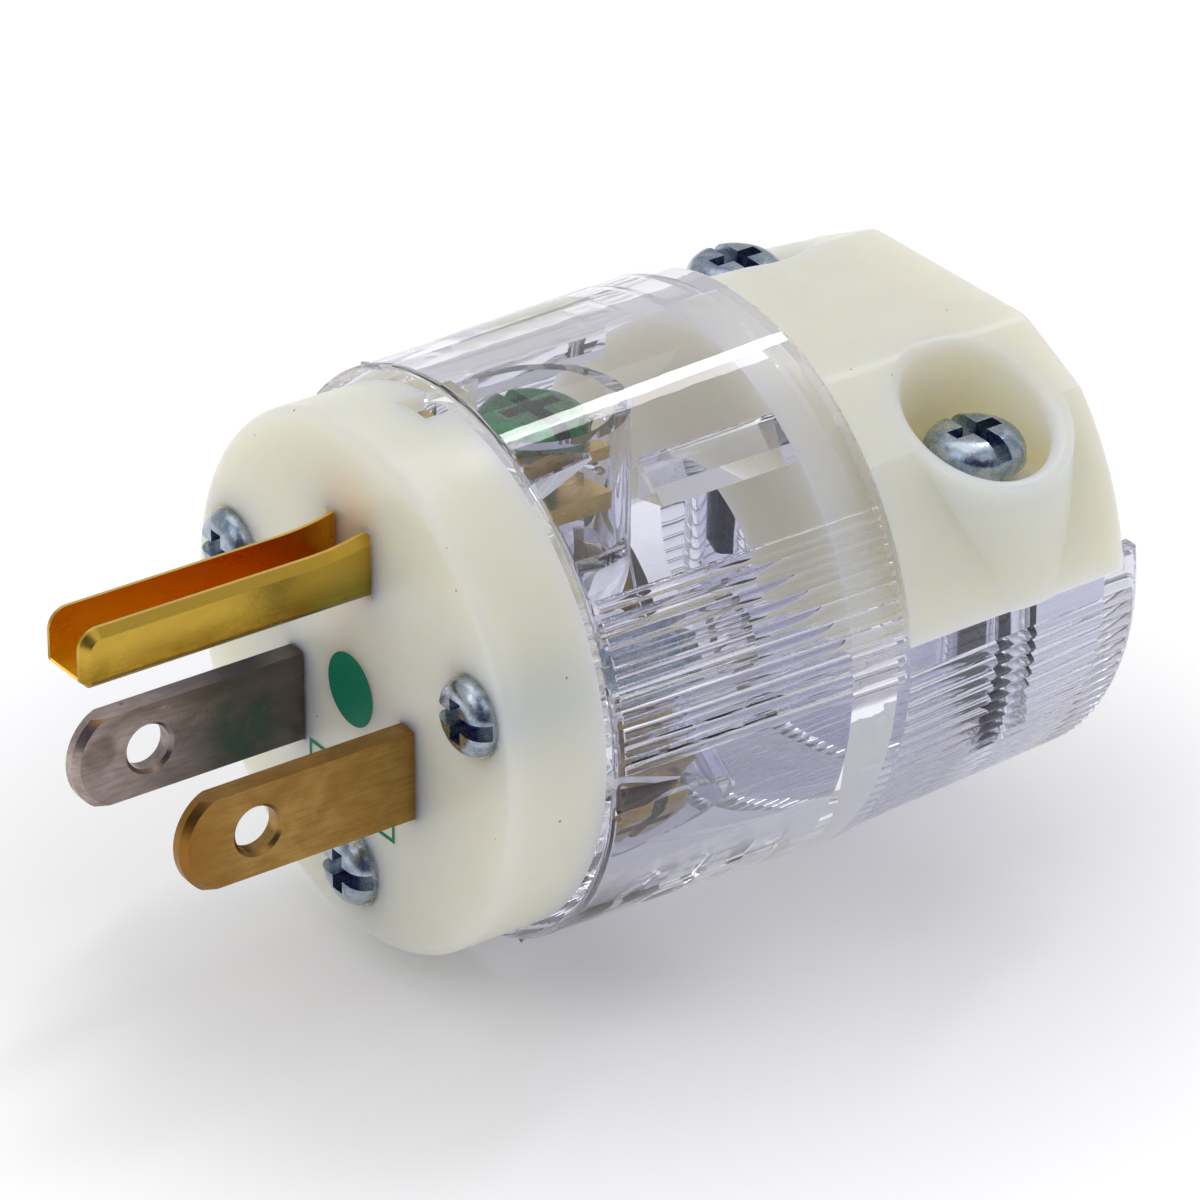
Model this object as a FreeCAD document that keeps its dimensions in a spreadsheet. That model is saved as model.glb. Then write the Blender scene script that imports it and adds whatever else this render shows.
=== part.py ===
# A rewirable three-pin mains plug: nylon face with two line blades and a U ground pin, clear housing that
# shows the screw terminals, and a nylon cord clamp held by two screws.
# The face lies in the plane y = 0 with its centre at the origin. The blades point to -Y, the cord leaves
# at +Y, the ground pin is above the line blades at +Z, and the hot blade is on the +X side.
import FreeCAD, Part
import math
import os
import Sketcher

doc = FreeCAD.newDocument("plug")
sheet = doc.addObject("Spreadsheet::Sheet", "sizes")

# Driving sizes in millimetres, angles in degrees
SIZES = {
    # Nylon face
    "face_step": 1.0,
    "face_depth": 7.0,
    "face_edge_round": 0.8,
    "spotface_depth": 0.4,
    # Line blades
    "blade_width": 6.35,
    "blade_thickness": 1.52,
    "blade_spacing": 12.7,
    "blade_length": 17.35,
    "blade_drop": 3.4,
    "blade_tip_radius": 3.9,
    "blade_bevel": 0.45,
    "blade_hole_diameter": 3.18,
    "blade_hole_distance": 11.7,
    "blade_hole_bevel": 0.25,
    # Ground pin, a U channel open at the top
    "ground_offset": 11.89,
    "ground_width": 4.83,
    "ground_wall": 0.8,
    "ground_height": 4.0,
    "ground_drop": 1.25,
    "ground_length": 21.1,
    "ground_flare": 0.5,
    "ground_flare_length": 4.0,
    "ground_tip_round": 1.4,
    "ground_tip_bevel": 0.55,
    "ground_corner_round": 0.75,
    # Screw terminals, one design at three places round the axis
    "line_terminal_turn": 126.0,
    "terminal_back": 6.9,
    "strap_thickness": 0.9,
    "strap_width": 5.0,
    "tab_radius": 13.4,
    "tab_width": 7.4,
    "tab_overhang": 3.4,
    "plate_thickness": 1.2,
    "plate_width": 7.4,
    "plate_length": 7.2,
    "wire_gap": 2.3,
    "terminal_head_diameter": 7.6,
    "terminal_head_height": 1.9,
    "terminal_shank_radius": 1.75,
    "terminal_screw_length": 5.6,
    # Clear terminal carrier
    "hub_radius": 6.5,
    "hub_nose_radius": 3.4,
    "turret_radius": 6.4,
    "turret_wall": 1.0,
    "turret_floor_radius": 7.2,
    "turret_top_radius": 15.4,
    "wire_hole_radius": 1.9,
    # Clear housing
    "barrel_front_radius": 19.3,
    "barrel_flare": 0.6,
    "barrel_length": 23.0,
    "barrel_wall": 1.9,
    "barrel_edge_round": 0.4,
    "bulkhead_thickness": 3.8,
    "bulkhead_hole_radius": 7.5,
    "key_width": 2.8,
    "key_length": 1.9,
    "key_height": 2.1,
    "key_inset": 0.35,
    "boss_radius": 3.1,
    "boss_length": 12.0,
    "boss_web": 2.6,
    "shroud_radius": 19.45,
    "shroud_length": 19.8,
    "shroud_taper": 0.95,
    "shroud_wall": 1.5,
    "shroud_end_wall": 2.4,
    "shroud_edge_round": 0.5,
    "saddle_wall": 3.2,
    "parting_height": 1.7,
    "lip_height": 0.9,
    "cord_radius": 5.0,
    # Ribs of the housing
    "grip_rib_pitch": 3.55,
    "grip_rib_lowest": 0.5,
    "grip_rib_radius": 0.55,
    "grip_rib_rise": 0.25,
    "grip_rib_margin": 0.7,
    "shroud_rib_pitch": 3.1,
    "shroud_rib_radius": 0.62,
    "shroud_rib_rise": 0.2,
    "guide_turn": 27.5,
    "guide_depth": 1.5,
    "guide_length": 5.6,
    "guide_tip": 0.19,
    "roof_rib_turn": 37.0,
    "roof_rib_width": 5.4,
    "roof_rib_depth": 2.0,
    "roof_rib_length": 10.6,
    # Cord clamp
    "clamp_length": 18.15,
    "clamp_taper": 0.35,
    "clamp_top_drop": 3.45,
    "clamp_top_width": 16.0,
    "clamp_slope": 26.0,
    "clamp_boss_radius": 6.45,
    "clamp_edge_round": 0.7,
    "clamp_crease_round": 2.5,
    "clamp_relief_radius": 8.0,
    "clamp_relief_length": 8.2,
    "recess_radius": 4.9,
    "recess_floor": 8.3,
    "recess_rim_round": 0.8,
    # Assembly screws through the face and clamp screws through the cord clamp
    "side_screw_turn": 73.7,
    "side_screw_inset": 3.15,
    "lower_screw_inset": 4.0,
    "screw_head_diameter": 5.3,
    "screw_head_height": 1.7,
    "screw_shank_radius": 1.6,
    "assembly_screw_length": 15.5,
    "clamp_head_diameter": 6.8,
    "clamp_head_height": 2.2,
    "clamp_screw_inset": 6.45,
    "clamp_screw_back": 10.0,
    "near_screw_lift": 1.5,
    "far_screw_lift": 3.6,
    "clamp_screw_length": 20.0,
    "slot_width": 1.1,
    "slot_depth": 1.1,
    "crown_share": 0.75,
    "point_share": 0.6,
    "cross_share": 0.55,
    # Fits
    "seat_clearance": 0.15,
    "slot_clearance": 0.1,
    "hole_clearance": 0.15,
    "thread_clearance": 0.05,
}

# Number of ribs in each pattern
GRIP_RIBS = 10
SHROUD_RIBS = 58

for row, (alias, number) in enumerate(SIZES.items(), start=1):
    sheet.set(f"A{row}", alias)
    sheet.set(f"B{row}", str(number))
    sheet.setAlias(f"B{row}", alias)
doc.recompute()


class Size:
    """A number together with the sheet expression that gives it."""

    def __init__(self, number, text):
        self.number = number
        self.text = text

    def __add__(self, other):
        other = as_size(other)
        return Size(self.number + other.number, f"({self.text} + {other.text})")

    def __sub__(self, other):
        other = as_size(other)
        return Size(self.number - other.number, f"({self.text} - {other.text})")

    def __mul__(self, other):
        other = as_size(other)
        return Size(self.number * other.number, f"({self.text} * {other.text})")

    def __truediv__(self, other):
        other = as_size(other)
        return Size(self.number / other.number, f"({self.text} / {other.text})")

    def __neg__(self):
        return Size(-self.number, f"(-1 * {self.text})")

    __radd__ = __add__
    __rmul__ = __mul__

    def __rsub__(self, other):
        return as_size(other) - self


def as_size(thing):
    return thing if isinstance(thing, Size) else Size(float(thing), repr(float(thing)))


def cosine(angle):
    return Size(math.cos(math.radians(angle.number)), f"cos({angle.text})")


def sine(angle):
    return Size(math.sin(math.radians(angle.number)), f"sin({angle.text})")


def tangent(angle):
    return Size(math.tan(math.radians(angle.number)), f"tan({angle.text})")


def arctangent(slope):
    return Size(math.degrees(math.atan(slope.number)), f"(atan({slope.text}) / 1 deg)")


class Sheet:
    """Gives each driving size by its name."""

    def __getattr__(self, name):
        return Size(float(sheet.get(name)), f"sizes.{name}")


d = Sheet()


# Helpers that bind properties and sketch points to the sheet
def bind(thing, prop, size):
    thing.setExpression(prop, as_size(size).text)


def put(thing, x=0, y=0, z=0, axis=None, turn=None):
    """Places an object, with an optional turn about one axis through its own origin."""
    if axis is not None:
        thing.Placement.Rotation = FreeCAD.Rotation(FreeCAD.Vector(*axis), as_size(turn).number)
        bind(thing, "Placement.Rotation.Angle", turn)
    for name, size in zip("xyz", (x, y, z)):
        bind(thing, f"Placement.Base.{name}", size)
    return thing


X_AXIS = (1, 0, 0)
Y_AXIS = (0, 1, 0)


def box(name, low, high):
    """A box between two corners."""
    thing = doc.addObject("Part::Box", name)
    for prop, a, b in zip(("Length", "Width", "Height"), low, high):
        bind(thing, prop, as_size(b) - a)
    return put(thing, *low)


def rod(name, radius, length, x=0, y=0, z=0):
    """A cylinder that runs along +Y from a point."""
    thing = doc.addObject("Part::Cylinder", name)
    bind(thing, "Radius", radius)
    bind(thing, "Height", length)
    return put(thing, x, y, z, X_AXIS, -90)


def post(name, radius, length, x=0, y=0, z=0):
    """A cylinder that runs along +Z from a point."""
    thing = doc.addObject("Part::Cylinder", name)
    bind(thing, "Radius", radius)
    bind(thing, "Height", length)
    return put(thing, x, y, z)


def fuse(name, things):
    thing = doc.addObject("Part::MultiFuse", name)
    thing.Shapes = things
    thing.Refine = True
    return thing


def cut(name, base, tools):
    thing = doc.addObject("Part::Cut", name)
    thing.Base = base
    thing.Tool = tools[0] if len(tools) == 1 else fuse(f"{name}_tools", tools)
    thing.Refine = True
    return thing


def common(name, first, second):
    thing = doc.addObject("Part::MultiCommon", name)
    thing.Shapes = [first, second]
    return thing


def turned(name, thing, turn):
    """A copy of an object, turned about the body axis."""
    copy = doc.addObject("Part::Compound", name)
    copy.Links = [thing]
    return put(copy, axis=Y_AXIS, turn=turn)


def new_body(name):
    return doc.addObject("PartDesign::Body", name)


def new_sketch(body, role, name):
    plane = next(feature for feature in body.Origin.OriginFeatures if feature.Role == role)
    sketch = body.newObject("Sketcher::SketchObject", name)
    sketch.AttachmentSupport = (plane, [""])
    sketch.MapMode = "FlatFace"
    return sketch


def pin(sketch, geometry, position, x, y):
    """Fixes a point of a sketch at bound coordinates."""
    for kind, size in (("DistanceX", as_size(x)), ("DistanceY", as_size(y))):
        at = sketch.addConstraint(Sketcher.Constraint(kind, -1, 1, geometry, position, size.number))
        sketch.setExpression(f"Constraints[{at}]", size.text)


def outline(sketch, points):
    """A closed outline of straight edges through bound points."""
    seeds = [FreeCAD.Vector(as_size(x).number, as_size(y).number, 0) for x, y in points]
    first = sketch.GeometryCount
    count = len(seeds)
    for i in range(count):
        sketch.addGeometry(Part.LineSegment(seeds[i], seeds[(i + 1) % count]))
    for i in range(count):
        sketch.addConstraint(Sketcher.Constraint("Coincident", first + i, 2, first + (i + 1) % count, 1))
    for i, (x, y) in enumerate(points):
        pin(sketch, first + i, 1, x, y)


def rectangle(sketch, low, high):
    outline(sketch, [low, (high[0], low[1]), high, (low[0], high[1])])


def circle(sketch, radius, x=0, y=0):
    centre = FreeCAD.Vector(as_size(x).number, as_size(y).number, 0)
    at = sketch.addGeometry(Part.Circle(centre, FreeCAD.Vector(0, 0, 1), as_size(radius).number))
    pin(sketch, at, 3, x, y)
    rule = sketch.addConstraint(Sketcher.Constraint("Radius", at, as_size(radius).number))
    bind(sketch, f"Constraints[{rule}]", radius)


def pad(body, name, sketch, length, reverse=False, midplane=False):
    feature = body.newObject("PartDesign::Pad", name)
    feature.Profile = sketch
    bind(feature, "Length", length)
    feature.Reversed = reverse
    feature.Midplane = midplane
    return feature


def pocket(body, name, sketch, length=None, reverse=False, midplane=False):
    """A pocket of a bound depth, or through everything."""
    feature = body.newObject("PartDesign::Pocket", name)
    feature.Profile = sketch
    if length is None:
        feature.Type = "ThroughAll"
    else:
        bind(feature, "Length", length)
    feature.Reversed = reverse
    feature.Midplane = midplane
    return feature


def revolve(body, name, sketch):
    feature = body.newObject("PartDesign::Revolution", name)
    feature.Profile = sketch
    feature.ReferenceAxis = (sketch, ["V_Axis"])
    feature.Angle = 360
    return feature


def edges_where(feature, test):
    """Names of the edges whose ends and middle all pass a test on a point."""
    names = []
    for i, edge in enumerate(feature.Shape.Edges, start=1):
        middle = edge.valueAt((edge.FirstParameter + edge.LastParameter) / 2)
        if all(test(point) for point in [middle] + [vertex.Point for vertex in edge.Vertexes]):
            names.append(f"Edge{i}")
    return names


def dress(body, kind, name, base, prop, size, test):
    """A fillet or chamfer on the edges of the last feature that pass a test."""
    doc.recompute()
    feature = body.newObject(f"PartDesign::{kind}", name)
    feature.Base = (base, edges_where(base, test))
    bind(feature, prop, size)
    return feature


def near(a, b):
    return abs(a - b) < 1e-4


def label(thing, name):
    thing.Label = name
    return thing


# Places that several pieces share
half_spacing = d.blade_spacing / 2
ground_height = d.ground_offset - d.blade_drop
ground_floor = ground_height - d.ground_drop
barrel_rear = d.face_depth + d.barrel_length
barrel_rear_radius = d.barrel_front_radius + d.barrel_flare
cavity_radius = d.barrel_front_radius - d.barrel_wall
face_radius = d.barrel_front_radius - d.face_step
cavity_rear = barrel_rear - d.bulkhead_thickness
shroud_rear = barrel_rear + d.shroud_length
shroud_rear_radius = d.shroud_radius - d.shroud_taper
clamp_front = barrel_rear + d.seat_clearance
clamp_rear = clamp_front + d.clamp_length
clamp_top = d.shroud_radius - d.clamp_top_drop
clamp_screw_reach = d.shroud_radius - d.clamp_screw_inset
clamp_screw_y = barrel_rear + d.clamp_screw_back
terminal_y = d.face_depth + d.terminal_back
strap_front = d.face_depth + d.slot_clearance
strap_rear = strap_front + d.strap_thickness
plate_top = d.tab_radius - d.strap_thickness - d.wire_gap
key_top = cavity_radius - d.key_inset
key_floor = key_top - d.key_height

# Turn about the body axis and distance from it of each face screw, and turn of each terminal
FACE_SCREWS = (
    (d.side_screw_turn, cavity_radius - d.side_screw_inset),
    (-d.side_screw_turn, cavity_radius - d.side_screw_inset),
    (as_size(180), cavity_radius - d.lower_screw_inset),
)
TERMINALS = (("ground", as_size(0)), ("hot", d.line_terminal_turn), ("neutral", -d.line_terminal_turn))
CLAMP_SCREWS = ((1, d.near_screw_lift), (-1, d.far_screw_lift))


def around(turn, radius):
    """Place on the X and Z axes at a turn about the body axis."""
    return radius * sine(turn), radius * cosine(turn)


# Screws: a pan head with a cross recess whose one arm runs out as a slot, and a plain shank
def pan_screw(name, head_diameter, head_height, shank_radius, length):
    """A screw along its own Z axis, with the underside of its head at z = 0."""
    body = new_body(name)
    head_radius = head_diameter / 2
    profile = new_sketch(body, "XZ_Plane", f"{name}_profile")
    outline(profile, [
        (0, -length),
        (shank_radius * d.point_share, -length),
        (shank_radius, shank_radius - length),
        (shank_radius, 0),
        (head_radius, 0),
        (head_radius, head_height),
        (0, head_height),
    ])
    turned_form = revolve(body, f"{name}_turning", profile)


    def on_crown(point):
        return near(point.z, head_height.number) and near(math.hypot(point.x, point.y), head_radius.number)

    dress(body, "Fillet", f"{name}_crown", turned_form, "Radius", head_height * d.crown_share, on_crown)
    recess = new_sketch(body, "XY_Plane", f"{name}_recess")
    half = d.slot_width / 2
    arm = head_radius * d.cross_share
    slot = head_diameter
    outline(recess, [
        (half, half), (slot, half), (slot, -half), (half, -half), (half, -arm), (-half, -arm),
        (-half, -half), (-slot, -half), (-slot, half), (-half, half), (-half, arm), (half, arm),
    ])
    bind(recess, "AttachmentOffset.Base.z", head_height)
    pocket(body, f"{name}_driver_slot", recess, d.slot_depth)
    return body


def make_assembly_screws():
    screws = []
    for i, (turn, radius) in enumerate(FACE_SCREWS, start=1):
        x, z = around(turn, radius)
        screw = pan_screw(
            f"face_screw_{i}", d.screw_head_diameter, d.screw_head_height, d.screw_shank_radius,
            d.assembly_screw_length,
        )
        screws.append(put(screw, x, d.spotface_depth, z, X_AXIS, 90))
    group = doc.addObject("Part::Compound", "screw_group_face")
    group.Links = screws
    return label(group, "assembly_screws")


def make_clamp_screws():
    screws = []
    for side, lift in CLAMP_SCREWS:
        screw = pan_screw(
            f"clamp_screw_{side + 2}", d.clamp_head_diameter, d.clamp_head_height, d.screw_shank_radius,
            d.clamp_screw_length,
        )
        screws.append(put(screw, side * clamp_screw_reach, clamp_screw_y, d.recess_floor + lift))
    group = doc.addObject("Part::Compound", "screw_group_clamp")
    group.Links = screws
    return label(group, "clamp_screws")


def make_terminal_screw(side, turn):
    screw = pan_screw(
        f"{side}_screw", d.terminal_head_diameter, d.terminal_head_height, d.terminal_shank_radius,
        d.terminal_screw_length,
    )
    x, z = around(turn, d.tab_radius)
    put(screw, x, terminal_y, z, Y_AXIS, turn)
    return label(screw, f"{side}_terminal_screw")


# Terminal plates: each is drawn up by its screw and grips the wire against the blade's tab
def make_clamp_plate(side, turn):
    body = new_body(f"{side}_plate")
    plan = new_sketch(body, "XY_Plane", f"{side}_plate_plan")
    rectangle(plan, (-d.plate_width / 2, -d.plate_length / 2), (d.plate_width / 2, d.plate_length / 2))
    circle(plan, d.terminal_shank_radius + d.thread_clearance)
    pad(body, f"{side}_plate_pad", plan, d.plate_thickness, reverse=True)
    x, z = around(turn, plate_top)
    put(body, x, terminal_y, z, Y_AXIS, turn)
    return label(body, f"{side}_clamp_plate")


def terminal_tab(side, root_radius, width):
    """Strap and tab of a blade in the ground terminal's place, with Z as the radius."""
    half = width / 2
    tab_inner = d.tab_radius - d.strap_thickness
    tab_end = terminal_y + d.tab_overhang
    strap = box(f"{side}_strap", (-half, strap_front, root_radius), (half, strap_rear, d.tab_radius))
    neck = box(f"{side}_neck", (-half, strap_front, tab_inner), (half, tab_end, d.tab_radius))
    wide_start = terminal_y - d.tab_overhang
    wide = box(
        f"{side}_wide", (-d.tab_width / 2, wide_start, tab_inner), (d.tab_width / 2, tab_end, d.tab_radius),
    )
    return fuse(f"{side}_tab", [strap, neck, wide])


def terminal_hole(side):
    return post(
        f"{side}_tab_hole", d.terminal_shank_radius + d.hole_clearance, d.strap_thickness * 3,
        0, terminal_y, d.tab_radius - d.strap_thickness * 2,
    )


# Line blades: flat, with a round bevelled tip and a hole, and a strap that turns out to the terminal
def make_line_blade(side, hand, turn):
    body = new_body(f"{side}_flat")
    plan = new_sketch(body, "YZ_Plane", f"{side}_flat_plan")
    rectangle(plan, (-d.blade_length, -d.blade_width / 2), (strap_rear, d.blade_width / 2))
    pad(body, f"{side}_flat_pad", plan, d.blade_thickness, midplane=True)
    hole = new_sketch(body, "YZ_Plane", f"{side}_hole_plan")
    circle(hole, d.blade_hole_diameter / 2, -d.blade_hole_distance, 0)
    holed = pocket(body, f"{side}_hole", hole, d.blade_thickness * 2, midplane=True)

    def on_hole(point):
        distance = math.hypot(point.y + d.blade_hole_distance.number, point.z)
        on_face = near(abs(point.x), d.blade_thickness.number / 2)
        return on_face and near(distance, d.blade_hole_diameter.number / 2)

    dress(body, "Chamfer", f"{side}_hole_bevel", holed, "Size", d.blade_hole_bevel, on_hole)
    put(body, hand * half_spacing, 0, -d.blade_drop)

    # The tip is where a disc and a cone meet the flat: round in the blade's plane, bevelled across it
    tip_centre = d.blade_tip_radius - d.blade_length
    disc = doc.addObject("Part::Cylinder", f"{side}_tip_disc")
    bind(disc, "Radius", d.blade_tip_radius)
    bind(disc, "Height", d.blade_thickness)
    put(disc, hand * half_spacing - d.blade_thickness / 2, tip_centre, -d.blade_drop, Y_AXIS, 90)
    rest = box(
        f"{side}_behind_tip",
        (hand * half_spacing - d.blade_thickness, tip_centre, -d.blade_drop - d.blade_width),
        (hand * half_spacing + d.blade_thickness, strap_rear, d.blade_width - d.blade_drop),
    )
    tip_form = fuse(f"{side}_tip_form", [disc, rest])
    rounded = common(f"{side}_rounded", body, tip_form)
    tab = turned(f"{side}_tab_turned", terminal_tab(side, d.hub_radius, d.strap_width), turn)
    hole_turned = turned(f"{side}_tab_hole_turned", terminal_hole(side), turn)
    blade = cut(f"{side}_blade_cut", fuse(f"{side}_whole", [rounded, tab]), [hole_turned])
    doc.recompute()
    bevel = doc.addObject("Part::Chamfer", f"{side}_bevel")
    bevel.Base = blade
    outer = d.blade_thickness.number / 2
    centre_x = hand * half_spacing.number
    start = -d.blade_length.number + d.blade_tip_radius.number
    bevel.Edges = [
        (int(name[4:]), d.blade_bevel.number, d.blade_bevel.number)
        for name in edges_where(
            blade,
            lambda point: near(abs(point.x - centre_x), outer) and point.y < start
            and math.hypot(point.y - start, point.z + d.blade_drop.number) > d.blade_tip_radius.number - 0.01,
        )
    ]
    return label(bevel, f"{side}_blade")


# Ground pin: folded strip whose walls rise in a curve where they meet the face
def make_ground_blade():
    body = new_body("ground_channel")
    side_view = new_sketch(body, "YZ_Plane", "ground_side")
    top = ground_floor + d.ground_height
    flare_step = d.ground_flare_length / 3
    outline(side_view, [
        (-d.ground_length, ground_floor),
        (strap_rear, ground_floor),
        (strap_rear, top + d.ground_flare),
        (0, top + d.ground_flare),
        (-flare_step, top + d.ground_flare * 4 / 9),
        (-2 * flare_step, top + d.ground_flare / 9),
        (-d.ground_flare_length, top),
        (-d.ground_length, top),
    ])
    whole = pad(body, "ground_pad", side_view, d.ground_width, midplane=True)
    half = d.ground_width / 2
    folded = dress(
        body, "Fillet", "ground_fold", whole, "Radius", d.ground_corner_round,
        lambda point: near(abs(point.x), half.number) and near(point.z, ground_floor.number),
    )
    tip = dress(
        body, "Fillet", "ground_tip", folded, "Radius", d.ground_tip_round,
        lambda point: near(point.y, -d.ground_length.number) and near(point.z, top.number),
    )
    dress(
        body, "Chamfer", "ground_nose", tip, "Size", d.ground_tip_bevel,
        lambda point: near(point.y, -d.ground_length.number) and near(abs(point.x), half.number),
    )
    inner = half - d.ground_wall
    channel = box(
        "ground_channel_space",
        (-inner, -d.ground_length - d.ground_wall, ground_floor + d.ground_wall),
        (inner, strap_front, top + d.ground_height),
    )
    open_channel = cut("ground_open", body, [channel])
    tab = terminal_tab("ground", ground_floor, d.ground_width)
    return label(
        cut("ground_blade_cut", fuse("ground_whole", [open_channel, tab]), [terminal_hole("ground")]),
        "ground_blade",
    )


# Nylon face: a thick disc with a slot for each blade, screw holes and a notch for the housing's key
def make_front_face():
    body = new_body("face_disc")
    plan = new_sketch(body, "XZ_Plane", "face_plan")
    circle(plan, face_radius)
    disc = pad(body, "face_pad", plan, d.face_depth, reverse=True)
    dress(
        body, "Fillet", "face_edge", disc, "Radius", d.face_edge_round,
        lambda point: near(point.y, 0) and near(math.hypot(point.x, point.z), face_radius.number),
    )
    slots = new_sketch(body, "XZ_Plane", "blade_slots")
    reach = d.blade_thickness / 2 + d.slot_clearance
    rise = d.blade_width / 2 + d.slot_clearance
    for hand in (1, -1):
        rectangle(
            slots,
            (hand * half_spacing - reach, -d.blade_drop - rise),
            (hand * half_spacing + reach, rise - d.blade_drop),
        )
    # The ground pin's slot is a U, so the face fills the channel
    outer = d.ground_width / 2 + d.slot_clearance
    inner = d.ground_width / 2 - d.ground_wall - d.slot_clearance
    below = ground_floor - d.slot_clearance
    step = ground_floor + d.ground_wall + d.slot_clearance
    above = ground_floor + d.ground_height + d.ground_flare + d.slot_clearance
    outline(slots, [
        (-outer, below), (outer, below), (outer, above), (inner, above),
        (inner, step), (-inner, step), (-inner, above), (-outer, above),
    ])
    for turn, radius in FACE_SCREWS:
        circle(slots, d.screw_shank_radius + d.hole_clearance, *around(turn, radius))
    pocket(body, "face_slots", slots, d.face_depth * 2, midplane=True)
    spots = new_sketch(body, "XZ_Plane", "spotfaces")
    for turn, radius in FACE_SCREWS:
        circle(spots, d.screw_head_diameter / 2 + d.hole_clearance, *around(turn, radius))
    pocket(body, "face_spots", spots, d.spotface_depth * 2, midplane=True)
    notch = new_sketch(body, "YZ_Plane", "key_notch")
    rectangle(
        notch,
        (d.face_depth - d.key_length - d.seat_clearance, key_floor - d.seat_clearance),
        (d.face_depth + d.key_length, face_radius + d.key_height),
    )
    pocket(body, "face_notch", notch, d.key_width + 2 * d.seat_clearance, midplane=True)
    return label(body, "front_face")


# Terminal carrier: a hub with a round turret for each terminal, open at the front for the blade's tab
def make_terminal_carrier():
    hub_front = strap_rear + d.seat_clearance
    hub_rear = terminal_y + d.turret_radius - d.turret_wall
    hub = rod("carrier_hub", d.hub_radius, hub_rear - hub_front, 0, hub_front, 0)
    nose_length = hub_front - d.face_depth + d.turret_wall
    nose = rod("carrier_nose", d.hub_nose_radius, nose_length, 0, d.face_depth, 0)
    solids = [hub]
    spaces = []
    tab_inner = d.tab_radius - d.strap_thickness - d.seat_clearance
    gate = d.tab_width / 2 + d.seat_clearance
    wire_height = plate_top + d.wire_gap / 2
    for side, turn in TERMINALS:
        turret = post(f"{side}_turret", d.turret_radius, d.turret_top_radius, 0, terminal_y, 0)
        solids.append(turned(f"{side}_turret_turned", turret, turn))
        well = post(
            f"{side}_well", d.turret_radius - d.turret_wall, d.turret_top_radius, 0, terminal_y,
            d.turret_floor_radius,
        )
        gap = box(
            f"{side}_gate",
            (-gate, d.face_depth, tab_inner),
            (gate, terminal_y, d.turret_top_radius + d.turret_wall),
        )
        wire = rod(f"{side}_wire_hole", d.wire_hole_radius, d.turret_radius * 2, 0, terminal_y, wire_height)
        spaces += [turned(f"{side}_{part.Name}_turned", part, turn) for part in (well, gap, wire)]
    trimmed = common(
        "carrier_trimmed",
        fuse("carrier_solid", solids),
        rod("carrier_limit", cavity_radius - d.seat_clearance, shroud_rear, 0, hub_front, 0),
    )
    return label(cut("carrier_cut", fuse("carrier_whole", [trimmed, nose]), spaces), "terminal_carrier")


# Clear housing: barrel, bulkhead and the lower half of the cord clamp in one moulding
def housing_barrel():
    """Tapered tube, closed at the rear by a bulkhead below the parting line and open above it."""
    body = new_body("barrel")
    profile = new_sketch(body, "XY_Plane", "barrel_profile")
    outline(profile, [
        (cavity_radius, d.face_depth),
        (d.barrel_front_radius, d.face_depth),
        (barrel_rear_radius, barrel_rear),
        (d.bulkhead_hole_radius, barrel_rear),
        (d.bulkhead_hole_radius, cavity_rear),
        (cavity_radius, cavity_rear),
    ])
    barrel = revolve(body, "barrel_turning", profile)

    def on_rim(point):
        radius = math.hypot(point.x, point.z)
        front = near(radius, d.barrel_front_radius.number) and near(point.y, d.face_depth.number)
        rear = near(radius, barrel_rear_radius.number) and near(point.y, barrel_rear.number)
        return front or rear

    dress(body, "Fillet", "barrel_rims", barrel, "Radius", d.barrel_edge_round, on_rim)
    opening = common(
        "tongue_opening",
        rod("tongue_space", cavity_radius, 2 * d.bulkhead_thickness, 0, cavity_rear, 0),
        box(
            "above_parting",
            (-cavity_radius, cavity_rear, d.parting_height),
            (cavity_radius, cavity_rear + 2 * d.bulkhead_thickness, cavity_radius),
        ),
    )
    return cut("barrel_open", body, [opening])


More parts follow.
